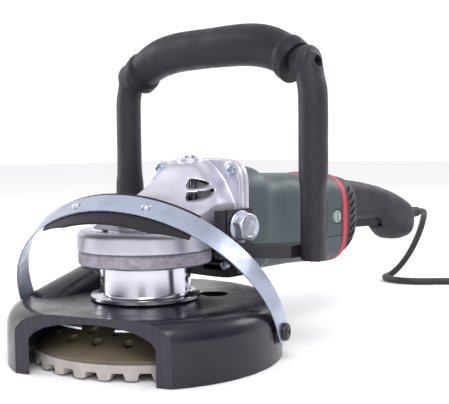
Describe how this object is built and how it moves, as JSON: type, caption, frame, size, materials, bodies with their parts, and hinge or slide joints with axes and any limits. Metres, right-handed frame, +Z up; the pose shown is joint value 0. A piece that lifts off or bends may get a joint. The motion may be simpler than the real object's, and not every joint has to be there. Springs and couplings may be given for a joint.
{
  "type": "angle grinder",
  "caption": "Two-hand angle grinder with a bail handle, a dust shroud with a swing-up front door, a segmented cup wheel and a mains cord.",
  "frame": {"origin": "under the middle of the tool without its cord, on the floor it stands on", "axes": "+Z up along the spindle, +Y from the nose to the rear handle, +X across the bail"},
  "size_m": [0.3022, 0.6978, 0.2681],
  "materials": {
    "cast_aluminium": "as-cast, bead blasted",
    "machined_aluminium": "turned",
    "steel": "ground and oiled",
    "zinc": "zinc plated",
    "black_steel": "black coated",
    "green_plastic": "fine textured",
    "black_plastic": "textured",
    "black_rubber": "matt",
    "red_rubber": "satin",
    "urethane": "moulded, glossy on top",
    "wheel_paint": "baked enamel",
    "segment_metal": "sintered diamond segments",
    "laminations": "varnished laminations",
    "copper": "copper",
    "carbon": "carbon"
  },
  "bodies": {
    "root": {"gear_case": "cast_aluminium", "lower_air_cover": "green_plastic", "bearing_flange": "cast_aluminium", "spindle_bearing": "steel", "spindle_top_bearing": "steel", "front_armature_bearing": "steel", "rear_armature_bearing": "steel", "rear_bearing_bridge": "black_plastic", "flange_screw_1": "zinc", "flange_screw_2": "zinc", "flange_screw_3": "zinc", "flange_screw_4": "zinc", "motor_housing": "green_plastic", "stator_core": "laminations", "carbon_brush_left": "carbon", "carbon_brush_right": "carbon", "brush_cap_left": "black_plastic", "brush_cap_right": "black_plastic", "damper_ring": "red_rubber", "handle_shell_left": "black_plastic", "handle_shell_right": "black_plastic", "switch_body": "black_plastic", "cord_boot": "black_rubber", "cord_run": "black_rubber", "cord_coil": "black_rubber", "plug_body": "black_rubber", "bail_bracket_left": "black_steel", "bail_bracket_right": "black_steel", "bail_leg_left": "black_plastic", "bail_leg_right": "black_plastic", "bail_grip": "black_rubber", "bail_bolt_left": "zinc", "bail_bolt_right": "zinc", "lock_spring": "steel"},
    "armature": {"armature_shaft": "steel", "armature_core": "laminations", "commutator": "copper", "cooling_fan": "black_plastic", "pinion_gear": "steel"},
    "spindle": {"spindle": "steel", "crown_gear": "steel", "inner_flange": "steel", "clamp_nut": "steel", "cup_wheel": "wheel_paint", "wheel_segments": "segment_metal"},
    "lock_button": {"lock_button": "cast_aluminium"},
    "trigger": {"trigger_lever": "black_plastic"},
    "slider": {"lock_on_slider": "black_plastic"},
    "shroud": {"shroud_body": "urethane", "shroud_collar": "machined_aluminium", "collar_screw_1": "black_steel", "collar_screw_2": "black_steel", "collar_screw_3": "black_steel", "retaining_ring": "zinc", "pivot_bolt_left": "black_steel", "pivot_bolt_right": "black_steel"},
    "door": {"door_strap": "zinc", "door_flap": "black_rubber", "door_rivet_1": "zinc", "door_rivet_2": "zinc"}
  },
  "joints": [
    {"name": "spindle_spin", "type": "hinge", "parent": "root", "child": "spindle", "pos_m": [0, -0.1451, 0.099], "axis": [0, 0, 1], "continuous": true},
    {"name": "armature_spin", "type": "hinge", "parent": "root", "child": "armature", "pos_m": [0, -0.1451, 0.099], "axis": [0, 1, 0], "continuous": true},
    {"name": "lock_button_press", "type": "slide", "parent": "root", "child": "lock_button", "axis": [0, 0, -1], "range_m": [0, 0.0045], "stiffness_N_per_m": 600, "springref_m": -0.003, "deforming": ["lock_spring"]},
    {"name": "trigger_pull", "type": "hinge", "parent": "root", "child": "trigger", "pos_m": [0, 0.1869, 0.09], "axis": [-1, 0, 0], "range_deg": [0, 4.5], "stiffness_Nm_per_rad": 1.5, "springref_deg": -8.59},
    {"name": "lock_on_slide", "type": "slide", "parent": "root", "child": "slider", "axis": [0, 1, 0], "range_m": [0, 0.004]},
    {"name": "shroud_turn", "type": "hinge", "parent": "root", "child": "shroud", "pos_m": [0, -0.1451, 0.06], "axis": [0, 0, 1], "range_deg": [-20, 8]},
    {"name": "door_swing", "type": "hinge", "parent": "shroud", "child": "door", "pos_m": [-0.00333, -0.13674, 0.0232], "axis": [0.9291, 0.3697, 0], "range_deg": [-4, 56]}
  ],
  "couplings": [
    {"joint": "armature_spin", "follows": "spindle_spin", "ratio": 3}
  ]
}
